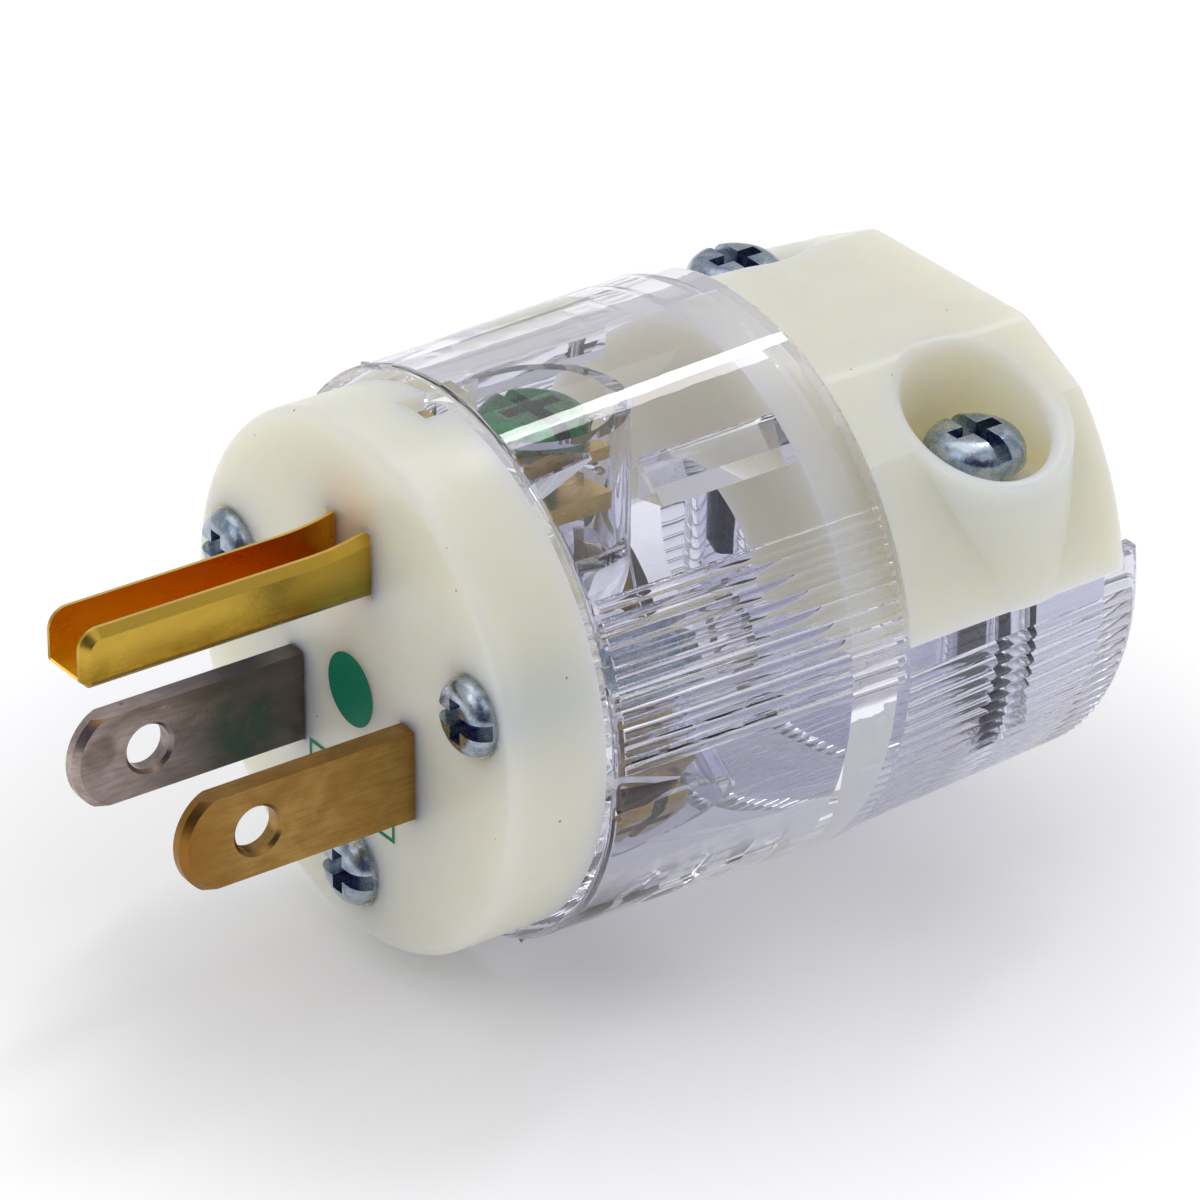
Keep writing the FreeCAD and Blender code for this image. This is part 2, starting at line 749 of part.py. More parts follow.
def housing_shroud():
    """Lower rear half: a tapered half shell with an end wall and a saddle wall, cut by the cord's bore."""
    outer = new_body("shroud_drum")
    profile = new_sketch(outer, "XY_Plane", "shroud_profile")
    outline(profile, [
        (0, cavity_rear), (d.shroud_radius, cavity_rear), (d.shroud_radius, barrel_rear),
        (shroud_rear_radius, shroud_rear), (0, shroud_rear),
    ])
    drum = revolve(outer, "shroud_turning", profile)

    def on_rim(point):
        radius = math.hypot(point.x, point.z)
        return near(point.y, shroud_rear.number) and near(radius, shroud_rear_radius.number)

    dress(outer, "Fillet", "shroud_rim", drum, "Radius", d.shroud_edge_round, on_rim)
    inner_radius = shroud_rear_radius - d.shroud_wall
    saddle_front = clamp_screw_y - d.saddle_wall / 2
    saddle_rear = clamp_screw_y + d.saddle_wall / 2
    hollow_front = rod("shroud_hollow_front", inner_radius, saddle_front - cavity_rear, 0, cavity_rear, 0)
    hollow_rear = rod(
        "shroud_hollow_rear", inner_radius, shroud_rear - d.shroud_end_wall - saddle_rear, 0, saddle_rear, 0,
    )
    shell = cut("shroud_shell", outer, [hollow_front, hollow_rear])
    solids = [shell]
    for side in (1, -1):
        solids.append(post(
            f"shroud_boss_{side + 2}", d.boss_radius, d.shroud_radius / 2 + d.parting_height,
            side * clamp_screw_reach, clamp_screw_y, -d.shroud_radius / 2,
        ))
    whole = fuse("shroud_whole", solids)
    lip_front = clamp_rear + d.seat_clearance
    upper = box(
        "shroud_upper",
        (-2 * d.shroud_radius, cavity_rear, d.parting_height),
        (2 * d.shroud_radius, lip_front, 2 * d.shroud_radius),
    )
    above_lip = box(
        "shroud_above_lip",
        (-2 * d.shroud_radius, cavity_rear, d.parting_height + d.lip_height),
        (2 * d.shroud_radius, 2 * shroud_rear, 2 * d.shroud_radius),
    )
    throat = box(
        "shroud_throat",
        (-inner_radius, lip_front - d.seat_clearance, d.parting_height),
        (inner_radius, 2 * shroud_rear, 2 * d.shroud_radius),
    )
    bore = rod("shroud_bore", d.cord_radius, 2 * d.shroud_length, 0, barrel_rear, 0)
    return cut("shroud_cut", whole, [upper, above_lip, throat, bore])


def rib(name, radius, length, lean, start, centre_radius, turn):
    """A round rib along the body, leaning out from the axis, at a turn about it."""
    thing = doc.addObject("Part::Cylinder", name)
    bind(thing, "Radius", radius)
    bind(thing, "Height", length)
    put(thing, 0, start, centre_radius, X_AXIS, lean - 90)
    return turned(f"{name}_turned", thing, turn)


def housing_ribs():
    """Fine ribs: a grip sector on each side of the barrel and ribs all round the lower rear half."""
    ribs = []
    slope = d.barrel_flare / d.barrel_length
    grip_radius = d.barrel_front_radius + slope * d.grip_rib_margin + d.grip_rib_rise - d.grip_rib_radius
    for i in range(GRIP_RIBS):
        for side in (1, -1):
            ribs.append(rib(
                f"grip_rib_{i}_{side + 2}", d.grip_rib_radius, d.barrel_length - 2 * d.grip_rib_margin,
                arctangent(slope), d.face_depth + d.grip_rib_margin, grip_radius,
                side * (90 - d.grip_rib_lowest - i * d.grip_rib_pitch),
            ))
    middle = (SHROUD_RIBS - 1) / 2
    for i in range(SHROUD_RIBS):
        ribs.append(rib(
            f"shroud_rib_{i}", d.shroud_rib_radius, d.shroud_length - d.grip_rib_margin,
            -arctangent(d.shroud_taper / d.shroud_length), barrel_rear,
            d.shroud_radius + d.shroud_rib_rise - d.shroud_rib_radius,
            180 + (i - middle) * d.shroud_rib_pitch,
        ))
    return ribs


def housing_bosses():
    """Screw bosses, each with a web to the wall, and their pilot holes."""
    solids = []
    holes = []
    for i, (turn, radius) in enumerate(FACE_SCREWS, start=1):
        x, z = around(turn, radius)
        solids.append(rod(f"boss_{i}", d.boss_radius, d.boss_length, x, d.face_depth, z))
        holes.append(rod(
            f"boss_hole_{i}", d.screw_shank_radius + d.thread_clearance, d.boss_length, x, d.face_depth, z,
        ))
        web = box(
            f"boss_web_{i}",
            (-d.boss_web / 2, d.face_depth, radius),
            (d.boss_web / 2, d.face_depth + d.boss_length, cavity_radius + d.barrel_wall / 2),
        )
        solids.append(turned(f"boss_web_{i}_turned", web, turn))
    return solids, holes


def housing_guides():
    """Pointed guides at the front of the cavity and roof-shaped ribs behind them."""
    solids = []
    for side, turn in TERMINALS:
        for hand in (1, -1):
            guide = doc.addObject("Part::Wedge", f"{side}_guide_{hand + 2}")
            for prop, size in (
                ("Xmin", -d.guide_depth), ("Xmax", d.guide_depth),
                ("Zmin", -d.guide_depth), ("Zmax", d.guide_depth),
                ("X2min", -d.guide_tip), ("X2max", d.guide_tip),
                ("Z2min", -d.guide_tip), ("Z2max", d.guide_tip),
                ("Ymin", as_size(0)), ("Ymax", d.guide_length),
            ):
                bind(guide, prop, size)
            put(guide, 0, d.face_depth + d.seat_clearance, cavity_radius, Y_AXIS, 45)
            solids.append(turned(f"{side}_guide_{hand + 2}_turned", guide, turn + hand * d.guide_turn))
    for hand in (1, -1):
        body = new_body(f"roof_rib_{hand + 2}")
        section = new_sketch(body, "XZ_Plane", f"roof_rib_{hand + 2}_section")
        foot = cavity_radius + d.barrel_wall / 2
        outline(section, [
            (-d.roof_rib_width / 2, foot),
            (0, cavity_radius - d.roof_rib_depth),
            (d.roof_rib_width / 2, foot),
        ])
        pad(body, f"roof_rib_{hand + 2}_pad", section, d.roof_rib_length, reverse=True)
        put(body, 0, cavity_rear - d.roof_rib_length, 0)
        solids.append(turned(f"roof_rib_{hand + 2}_turned", body, hand * d.roof_rib_turn))
    return solids


def housing_key():
    """Tab that enters the face's notch, on a block inside the barrel's front end."""
    key_rear = d.face_depth + d.barrel_wall
    tab = box(
        "key_tab",
        (-d.key_width / 2, d.face_depth - d.key_length, key_floor),
        (d.key_width / 2, key_rear, key_top),
    )
    block = box(
        "key_block",
        (-d.key_width / 2, d.face_depth, key_floor),
        (d.key_width / 2, key_rear, cavity_radius + d.barrel_wall / 2),
    )
    return [tab, block]


def make_housing():
    bosses, holes = housing_bosses()
    inner = fuse("housing_inner", housing_key() + bosses + housing_guides())
    shell = fuse("housing_shell", [housing_barrel(), housing_shroud(), inner])
    whole = fuse("housing_whole", [shell] + housing_ribs())
    for side in (1, -1):
        holes.append(post(
            f"shroud_pilot_{side + 2}", d.screw_shank_radius + d.thread_clearance, d.clamp_screw_length,
            side * clamp_screw_reach, clamp_screw_y,
            d.recess_floor + d.near_screw_lift - d.clamp_screw_length - d.thread_clearance,
        ))
    return label(cut("housing_cut", whole, holes), "housing")


# Cord clamp: nylon saddle with a flat top, sloped shoulders, a boss and a round recess for each screw, and a
# tongue that closes the barrel above the parting line
def clamp_edges(name, base, rounds):
    """Rounds chosen edges, given as pairs of a radius and a test on a point."""
    doc.recompute()
    eased = doc.addObject("Part::Fillet", name)
    eased.Base = base
    eased.Edges = [
        (int(edge[4:]), size.number, size.number)
        for size, test in rounds
        for edge in edges_where(base, test)
    ]
    return eased


def make_cord_clamp():
    foot = d.parting_height + d.thread_clearance
    top_half = d.clamp_top_width / 2
    wide = d.shroud_radius + d.clamp_edge_round
    shoulder = clamp_top - (wide - top_half) * tangent(d.clamp_slope)
    body = new_body("clamp_block")
    section = new_sketch(body, "XZ_Plane", "clamp_section")
    outline(section, [
        (-wide, foot), (wide, foot), (wide, shoulder), (top_half, clamp_top),
        (-top_half, clamp_top), (-wide, shoulder),
    ])
    block = pad(body, "clamp_pad", section, d.clamp_length, reverse=True)
    dress(
        body, "Fillet", "clamp_creases", block, "Radius", d.clamp_crease_round,
        lambda point: near(point.z, clamp_top.number) and near(abs(point.x), top_half.number),
    )
    put(body, 0, clamp_front, 0)
    drum = doc.addObject("Part::Cone", "clamp_drum")
    bind(drum, "Radius1", d.shroud_radius)
    bind(drum, "Radius2", d.shroud_radius - d.clamp_taper)
    bind(drum, "Height", d.clamp_length)
    forms = [put(drum, 0, clamp_front, 0, X_AXIS, -90)]
    recesses = []
    holes = []
    for side in (1, -1):
        x = side * clamp_screw_reach
        forms.append(post(f"clamp_boss_{side + 2}", d.clamp_boss_radius, clamp_top, x, clamp_screw_y, 0))
        recesses.append(post(
            f"clamp_recess_{side + 2}", d.recess_radius, clamp_top, x, clamp_screw_y, d.recess_floor,
        ))
        holes.append(post(
            f"clamp_hole_{side + 2}", d.screw_shank_radius + d.hole_clearance, clamp_top, x, clamp_screw_y, 0,
        ))
    form = common("clamp_form", body, fuse("clamp_forms", forms))
    recessed = cut("clamp_recessed", form, recesses)

    def on_rim(point):
        distance = math.hypot(abs(point.x) - clamp_screw_reach.number, point.y - clamp_screw_y.number)
        return near(distance, d.recess_radius.number) and point.z > d.recess_floor.number + 0.1

    def on_rear(point):
        return near(point.y, clamp_rear.number)

    eased = clamp_edges(
        "clamp_eased", recessed, [(d.recess_rim_round, on_rim), (d.clamp_edge_round, on_rear)],
    )
    tongue_front = cavity_rear + d.seat_clearance
    tongue = common(
        "clamp_tongue",
        rod("tongue_disc", cavity_radius - d.seat_clearance, clamp_front - tongue_front, 0, tongue_front, 0),
        box(
            "tongue_half", (-cavity_radius, tongue_front, foot), (cavity_radius, clamp_front, cavity_radius),
        ),
    )
    whole = fuse("clamp_whole", [eased, tongue])
    relief_length = clamp_front + d.clamp_relief_length - tongue_front
    bore = rod("clamp_bore", d.cord_radius, d.clamp_length, 0, clamp_front, 0)
    relief = rod("clamp_relief", d.clamp_relief_radius, relief_length, 0, tongue_front, 0)
    return label(cut("clamp_cut", whole, [bore, relief] + holes), "cord_clamp")


parts = [
    make_front_face(),
    make_housing(),
    make_terminal_carrier(),
    make_cord_clamp(),
    make_line_blade("hot", 1, d.line_terminal_turn),
    make_line_blade("neutral", -1, -d.line_terminal_turn),
    make_ground_blade(),
    make_assembly_screws(),
    make_clamp_screws(),
]
for side, turn in TERMINALS:
    parts.append(make_terminal_screw(side, turn))
    parts.append(make_clamp_plate(side, turn))
doc.recompute()

# Every object has to be sound before anything is written
for thing in doc.Objects:
    if {"Invalid", "Error"} & set(thing.State):
        raise RuntimeError(f"{thing.Name} failed: {thing.State}")
for thing in parts:
    if thing.Shape.isNull() or not thing.Shape.isValid():
        raise RuntimeError(f"{thing.Label} has no valid shape")

os.makedirs("parts", exist_ok=True)
for thing in parts:
    thing.Shape.exportStep(f"parts/{thing.Label}.step")
    solids = len(thing.Shape.Solids)
    print(thing.Label, "solids", solids, "volume", round(thing.Shape.Volume, 1))
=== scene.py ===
import math
import bmesh
import bpy
from mathutils import Matrix, Vector


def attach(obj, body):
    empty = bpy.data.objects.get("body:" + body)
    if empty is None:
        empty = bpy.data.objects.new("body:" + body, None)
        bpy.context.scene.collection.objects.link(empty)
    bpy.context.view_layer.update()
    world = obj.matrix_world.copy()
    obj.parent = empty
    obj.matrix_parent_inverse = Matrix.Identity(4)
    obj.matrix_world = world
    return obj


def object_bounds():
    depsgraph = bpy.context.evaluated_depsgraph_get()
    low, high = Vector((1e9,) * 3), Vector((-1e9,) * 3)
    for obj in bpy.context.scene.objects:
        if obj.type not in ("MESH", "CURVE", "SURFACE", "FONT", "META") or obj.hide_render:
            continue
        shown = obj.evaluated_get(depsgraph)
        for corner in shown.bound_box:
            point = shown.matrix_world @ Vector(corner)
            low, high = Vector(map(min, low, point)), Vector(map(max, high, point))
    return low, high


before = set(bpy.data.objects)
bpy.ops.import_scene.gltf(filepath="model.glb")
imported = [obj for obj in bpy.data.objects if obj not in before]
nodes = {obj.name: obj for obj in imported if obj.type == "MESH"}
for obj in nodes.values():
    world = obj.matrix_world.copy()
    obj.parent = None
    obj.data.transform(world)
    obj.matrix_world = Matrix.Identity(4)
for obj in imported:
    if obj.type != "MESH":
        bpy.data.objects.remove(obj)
cad_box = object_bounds()

# Looks of a rewirable mains plug: cream nylon face and cord clamp, clear housing, brass and nickel blades,
# zinc-plated screws. The frame has -Y out of the face, +Z towards the ground pin and +X towards the hot
# blade. Lengths in the shaders are millimetres, everything else is metres.
MM = 0.001
scene = bpy.context.scene

# Camera, fitted to the standard sizes of the blades
VIEW_TARGET = Vector((1.664, 18.367, 1.114)) * MM
VIEW_DISTANCE = 447.05 * MM
VIEW_AZIMUTH = math.radians(54.428)
VIEW_ELEVATION = math.radians(28.527)
VIEW_ROLL = math.radians(0.11)
SENSOR_WIDTH = 36.0
FOCAL_LENGTH = 206.55
NEAREST = 10 * MM
FARTHEST = 10.0

# Studio: direction of its darker side, the room's colour on both sides, and the soft boxes
# with their place, target, size and power in watts
DARK_SIDE = (0.84, -0.53, 0.10)
ROOM_BRIGHT, ROOM_DARK = (0.97, 0.975, 1.0, 1.0), (0.07, 0.07, 0.16, 1.0)
ROOM_STRENGTH = 0.58
MIDDLE = (0, 0.015, 0)
LIGHTS = {
    "top_box": ((-0.15, 0.05, 0.75), MIDDLE, (0.7, 0.7), 1.3),
    "strip_light": ((-0.22, 0.41, 0.65), MIDDLE, (0.05, 0.35), 0.7),
    "front_box": ((0.05, -0.62, 0.68), MIDDLE, (0.5, 0.5), 1.0),
    "side_box": ((0.52, 0.0, 0.62), (0.01, 0.035, 0.01), (0.4, 0.4), 0.4),
}
FLOOR_HALF = 3.0
FLOOR_GAP = 0.05 * MM
LIGHT_PATHS = 16

# Green print on the face
PRINT_LEVEL = -0.02 * MM
DOT_RADIUS = 2.55 * MM
DOT_CENTRE = (0, -0.35 * MM)
OUTLINE_LOW, OUTLINE_HIGH = (-4.95 * MM, -9.5 * MM), (4.85 * MM, -6.1 * MM)
OUTLINE_WIDTH = 0.3 * MM

# Places on the plug that the materials mark, in millimetres
FOOT_OF_PIN = (0.5, 0, 11.5)
ROOT_OF_PIN = (2.4, -1.5, 7.2)
HOT_TIP = (6.35, -17.5, -3.4)
NEUTRAL_SMUDGE = (-5.6, -4.5, -4.0)
NEUTRAL_STAIN = (-5.6, -15.4, -2.6)
CLAMP_RECESSES = ((13.0, 40.0, 11.5), (-13.0, 40.0, 11.5))
UNDER_PLUG = (0, 18, -20)

# How far red, green and blue light goes in the nylon, in millimetres
NYLON_REACH = (9.5, 7.6, 4.4)

# Centre and reach of the driver recess in each zinc-plated screw, in millimetres
SCREW_RECESSES = (
    ((13.68, -0.2, 4.0), 1.25), ((-13.68, -0.2, 4.0), 1.25), ((0, -0.2, -13.4), 1.25),
    ((13.0, 40.0, 10.9), 1.35), ((-13.0, 40.0, 13.0), 1.35),
)

# Colours in linear light. A rolled metal has a pale and a dark tone and its tarnish
CREAM_DEEP, CREAM_PALE = (0.78, 0.77, 0.66), (0.825, 0.815, 0.71)
# Painted light on the nylon: a reflection of the brass by the ground pin and a glow in the clamp recesses
PAINTED_PIN_REFLECTION, PAINTED_RECESS_GLOW = (0.86, 0.70, 0.48), (0.985, 0.965, 0.86)
SPECK = (0.22, 0.16, 0.09)
# The clear plastic's colour darkens towards the bottom and the rear as painted shade
PLASTIC_LOW_PAINTED_SHADE, PLASTIC_HIGH = (0.82, 0.82, 0.895), (0.90, 0.90, 0.95)
PLASTIC_REAR_PAINTED_SHADE, PLASTIC_PASSING = (0.73, 0.73, 0.825), (0.955, 0.955, 0.975)
HOT_BRASS = ((0.40, 0.245, 0.075), (0.30, 0.165, 0.04), (0.20, 0.105, 0.03))
RED_BRASS = (0.26, 0.115, 0.02)
PIN_BRASS = ((0.41, 0.255, 0.032), (0.30, 0.17, 0.016), (0.18, 0.10, 0.016))
# Painted light on the ground pin: a paler top, a highlight on upward faces and an orange glow inside its
# channel
PIN_PAINTED_TOP_LIGHT, PIN_GREEN, PIN_PAINTED_HIGHLIGHT = (0.62, 0.41, 0.065), (0.20, 0.24, 0.06), (0.92, 0.66, 0.20)
CHANNEL_TIP_PAINTED_GLOW, CHANNEL_ROOT_PAINTED_GLOW = (1.0, 0.62, 0.06), (1.0, 0.47, 0.02)
NICKEL = ((0.52, 0.42, 0.39), (0.30, 0.24, 0.22), (0.16, 0.13, 0.125))
NICKEL_ROOT, NICKEL_GREEN, NICKEL_STAIN = (0.085, 0.08, 0.073), (0.045, 0.10, 0.075), (0.16, 0.13, 0.11)
METAL_SPOT = (0.10, 0.03, 0.03)
ZINC_PALE, ZINC_DARK = (0.45, 0.50, 0.56), (0.20, 0.27, 0.37)
# Painted shade: near black on the clamp screws' shanks and deep blue in the driver recesses
ZINC_SHANK_PAINTED_SHADE, ZINC_RECESS_PAINTED_SHADE = (0.012, 0.012, 0.04), (0.085, 0.095, 0.27)
GREEN_PALE, GREEN_DARK = (0.001, 0.22, 0.045), (0.0005, 0.09, 0.016)
INK_DARK, INK_PALE = (0.001, 0.165, 0.09), (0.003, 0.215, 0.125)
PAPER_DARK, PAPER_PALE = (0.84, 0.84, 0.845), (0.86, 0.86, 0.865)
WHITE, BLACK = (1.0, 1.0, 1.0), (0.0, 0.0, 0.0)


def make_camera():
    data = bpy.data.cameras.new("camera")
    data.sensor_width = SENSOR_WIDTH
    data.lens = FOCAL_LENGTH
    data.clip_start = NEAREST
    data.clip_end = FARTHEST
    camera = bpy.data.objects.new("camera", data)
    scene.collection.objects.link(camera)
    across = math.cos(VIEW_ELEVATION)
    away = Vector((
        across * math.sin(VIEW_AZIMUTH), -across * math.cos(VIEW_AZIMUTH), math.sin(VIEW_ELEVATION),
    ))
    turn = away.to_track_quat("Z", "Y").to_matrix() @ Matrix.Rotation(VIEW_ROLL, 3, "Z")
    camera.matrix_world = Matrix.Translation(VIEW_TARGET + away * VIEW_DISTANCE) @ turn.to_4x4()
    scene.camera = camera


class Finish:
    """A node material whose textures are laid out in millimetres of the shared frame."""

    def __init__(self, name, **sockets):
        self.material = bpy.data.materials.new(name)
        self.material.use_nodes = True
        self.tree = self.material.node_tree
        self.shader = self.tree.nodes["Principled BSDF"]
        self.set(**sockets)

    def set(self, **sockets):
        """Sets or links sockets of the shader: base_color is its socket Base Color."""
        for name, value in sockets.items():
            title = name.replace("_", " ").title().replace("Ior", "IOR")
            self.feed(self.shader.inputs[title], value)
        return self

    def feed(self, socket, value):
        if isinstance(value, bpy.types.NodeSocket):
            self.tree.links.new(value, socket)
        elif socket.type == "RGBA" and len(value) == 3:
            socket.default_value = (*value, 1.0)
        else:
            socket.default_value = value

    def node(self, kind, inputs=(), **settings):
        node = self.tree.nodes.new(kind)
        for name, value in settings.items():
            setattr(node, name, value)
        for key, value in dict(inputs).items():
            self.feed(node.inputs[key], value)
        return node

    def place(self, stretch=(1, 1, 1), centre=(0, 0, 0)):
        """Coordinates in millimetres from a centre, divided by the stretch along each axis."""
        coords = self.node("ShaderNodeTexCoord").outputs["Object"]
        scale = [1 / (MM * s) for s in stretch]
        offset = [-c / s for c, s in zip(centre, stretch)]
        inputs = {"Vector": coords, "Scale": scale, "Location": offset}
        return self.node("ShaderNodeMapping", inputs).outputs["Vector"]

    def axis(self, name):
        """The coordinate along X, Y or Z in millimetres."""
        return self.node("ShaderNodeSeparateXYZ", {0: self.place()}).outputs[name]

    def noise(self, size, detail=3.0, rough=0.5, stretch=(1, 1, 1), distortion=0.0):
        """Soft noise whose blobs are about size millimetres across."""
        inputs = {
            "Vector": self.place(stretch), "Scale": 1 / size, "Detail": detail, "Roughness": rough,
            "Distortion": distortion,
        }
        return self.node("ShaderNodeTexNoise", inputs).outputs["Fac"]

    def cells(self, size):
        """Distance to the nearest of scattered points about size millimetres apart, in cell sizes."""
        inputs = {"Vector": self.place(), "Scale": 1 / size}
        return self.node("ShaderNodeTexVoronoi", inputs).outputs["Distance"]

    def step(self, value, low, high, to_low=0.0, to_high=1.0):
        """A smooth step from one level to another."""
        inputs = {"Value": value, "From Min": low, "From Max": high, "To Min": to_low, "To Max": to_high}
        return self.node("ShaderNodeMapRange", inputs, interpolation_type="SMOOTHSTEP").outputs["Result"]

    def maths(self, operation, a, b=0.0):
        return self.node("ShaderNodeMath", {0: a, 1: b}, operation=operation).outputs["Value"]

    def both(self, a, b):
        """The product of two masks."""
        return self.maths("MULTIPLY", a, b)

    def mix(self, factor, a, b):
        """A mix of two colours."""
        node = self.node("ShaderNodeMix", {"Factor": factor}, data_type="RGBA")
        colours = [socket for socket in node.inputs if socket.type == "RGBA"]
        self.feed(colours[0], a)
        self.feed(colours[1], b)
        return next(socket for socket in node.outputs if socket.type == "RGBA")

    def bump(self, height, depth):
        """A normal from a height field whose full swing is depth millimetres."""
        return self.node("ShaderNodeBump", {"Height": height, "Distance": depth * MM}).outputs["Normal"]

    def spot(self, centre, radius, soft=0.5):
        """1 in the middle of a ball, falling to 0 over the outer share of its radius."""
        place = self.place(centre=centre)
        length = self.node("ShaderNodeVectorMath", {0: place}, operation="LENGTH").outputs["Value"]
        return self.step(length, radius * (1 - soft), radius, 1.0, 0.0)


def nylon():
    """Milky cream moulding with faint flow marks, a satin grain and a few dark specks, with a painted
    reflection of the brass by the ground pin and a painted glow in the clamp recesses.
    """
    f = Finish("nylon", subsurface_weight=1.0, subsurface_radius=NYLON_REACH, subsurface_scale=MM, ior=1.53)
    f.shader.subsurface_method = "RANDOM_WALK"
    flow = f.noise(3.2, 1)
    tone = f.mix(flow, CREAM_DEEP, CREAM_PALE)
    # Painted reflection of the brass pin on the nylon around its foot
    tone = f.mix(f.spot(FOOT_OF_PIN, 5.5, 0.8), tone, PAINTED_PIN_REFLECTION)
    # Painted glow in the clamp recesses, standing in for light that passes through the thin nylon
    for recess in CLAMP_RECESSES:
        tone = f.mix(f.spot(recess, 7.0), tone, PAINTED_RECESS_GLOW)
    specks = f.both(f.step(f.cells(2.6), 0.02, 0.05, 1.0, 0.0), f.step(f.noise(5, 1), 0.5, 0.56))
    tone = f.mix(specks, tone, SPECK)
    rough = f.step(flow, 0.3, 0.7, 0.32, 0.42)
    return f.set(base_color=tone, roughness=rough, normal=f.bump(flow, 0.02)).material


def clear_plastic():
    """Clear moulding, faintly cool-tinted and slightly wavy where it filled the mould, with painted shade
    that darkens it towards the bottom and the rear.
    """
    f = Finish("clear_plastic", transmission_weight=1.0, ior=1.5, roughness=0.0)
    # Painted shade: the colour darkens towards the bottom and the rear
    tint_and_painted_shade = f.mix(f.step(f.axis("Z"), -14.0, 4.0), PLASTIC_LOW_PAINTED_SHADE, PLASTIC_HIGH)
    tint_and_painted_shade = f.mix(f.step(f.axis("Y"), 29.0, 33.0), tint_and_painted_shade, PLASTIC_REAR_PAINTED_SHADE)
    f.set(base_color=tint_and_painted_shade, normal=f.bump(f.noise(3.0, 1), 0.008))
    # Light from the lamps and from other surfaces passes straight through, as it nearly does in thin walls
    passing = f.node("ShaderNodeBsdfTransparent", {"Color": PLASTIC_PASSING}).outputs["BSDF"]
    path = f.node("ShaderNodeLightPath").outputs
    scattered = f.maths("MAXIMUM", path["Is Shadow Ray"], path["Is Diffuse Ray"])
    whole = f.node("ShaderNodeMixShader", {0: scattered, 1: f.shader.outputs["BSDF"], 2: passing})
    f.feed(f.tree.nodes["Material Output"].inputs["Surface"], whole.outputs["Shader"])
    return f.material


def rolled(f, tones, rough):
    """Rolled strip: fine lines along it, cloudy tarnish and small dark spots."""
    pale, dark, tarnish = tones
    lines = f.noise(0.25, 3, 0.6, stretch=(1, 9, 1))
    cloud = f.noise(2.8, 5, 0.62, stretch=(1, 1.5, 1), distortion=0.7)
    tone = f.mix(f.step(cloud, 0.3, 0.7), pale, dark)
    tone = f.mix(f.step(lines, 0.35, 0.75, 0.0, 0.45), tone, tarnish)
    spots = f.both(f.step(f.cells(1.9), 0.05, 0.11, 1.0, 0.0), f.step(f.noise(2.6), 0.54, 0.62))
    tone = f.mix(f.both(spots, 0.85), tone, METAL_SPOT)
    height = f.maths("ADD", f.both(lines, 0.5), f.noise(0.8, 3))
    f.set(roughness=f.step(cloud, 0.2, 0.8, *rough), normal=f.bump(height, 0.012))
    return tone


def blade_brass():
    """Brown brass of the hot blade, a little redder towards the tip."""
    f = Finish("blade_brass", metallic=1.0)
    tone = rolled(f, HOT_BRASS, (0.26, 0.42))
    tip = f.both(f.spot(HOT_TIP, 6.0, 0.9), 0.8)
    return f.set(base_color=f.mix(tip, tone, RED_BRASS)).material


def pin_brass():
    """Yellow brass of the ground pin, greenish near the face, with a painted paler top, a painted highlight
    on upward faces and a painted orange glow inside the channel.
    """
    f = Finish("pin_brass", metallic=1.0)
    tone = rolled(f, PIN_BRASS, (0.22, 0.38))
    # Painted light: the upper part of the pin is paler, as its top catches more light
    tone = f.mix(f.step(f.axis("Z"), 8.0, 10.0, 0.0, 0.75), tone, PIN_PAINTED_TOP_LIGHT)
    tone = f.mix(f.both(f.spot(ROOT_OF_PIN, 4.5, 0.8), 0.45), tone, PIN_GREEN)
    # Painted highlight on faces that point upwards
    facing = f.node("ShaderNodeNewGeometry").outputs["Normal"]
    upward = f.node("ShaderNodeSeparateXYZ", {0: facing}).outputs["Z"]
    tone = f.mix(f.step(upward, 0.75, 0.95, 0.0, 0.7), tone, PIN_PAINTED_HIGHLIGHT)
    # Painted glow inside the channel, standing in for light bouncing between its brass walls
    inside = f.step(f.maths("ABSOLUTE", f.axis("X")), 1.58, 1.66, 1.0, 0.0)
    outside = f.step(f.axis("Y"), 0.0, 1.0, 1.0, 0.0)
    deep = f.mix(f.step(f.axis("Y"), -20.0, -2.0), CHANNEL_TIP_PAINTED_GLOW, CHANNEL_ROOT_PAINTED_GLOW)
    return f.set(base_color=f.mix(f.both(inside, outside), tone, deep)).material


def nickel():
    """Worn nickel plate, mauve grey, darker and a little green towards the face."""
    f = Finish("nickel", metallic=1.0)
    tone = rolled(f, NICKEL, (0.24, 0.40))
    tone = f.mix(f.step(f.axis("Y"), -15.0, -5.0, 0.0, 0.82), tone, NICKEL_ROOT)
    smudge = f.both(f.spot(NEUTRAL_SMUDGE, 3.6, 0.6), f.step(f.noise(1.6, 4, 0.6), 0.3, 0.6))
    tone = f.mix(f.both(smudge, 0.7), tone, NICKEL_GREEN)
    stain = f.both(f.spot(NEUTRAL_STAIN, 1.5, 0.4), 0.5)
    return f.set(base_color=f.mix(stain, tone, NICKEL_STAIN)).material


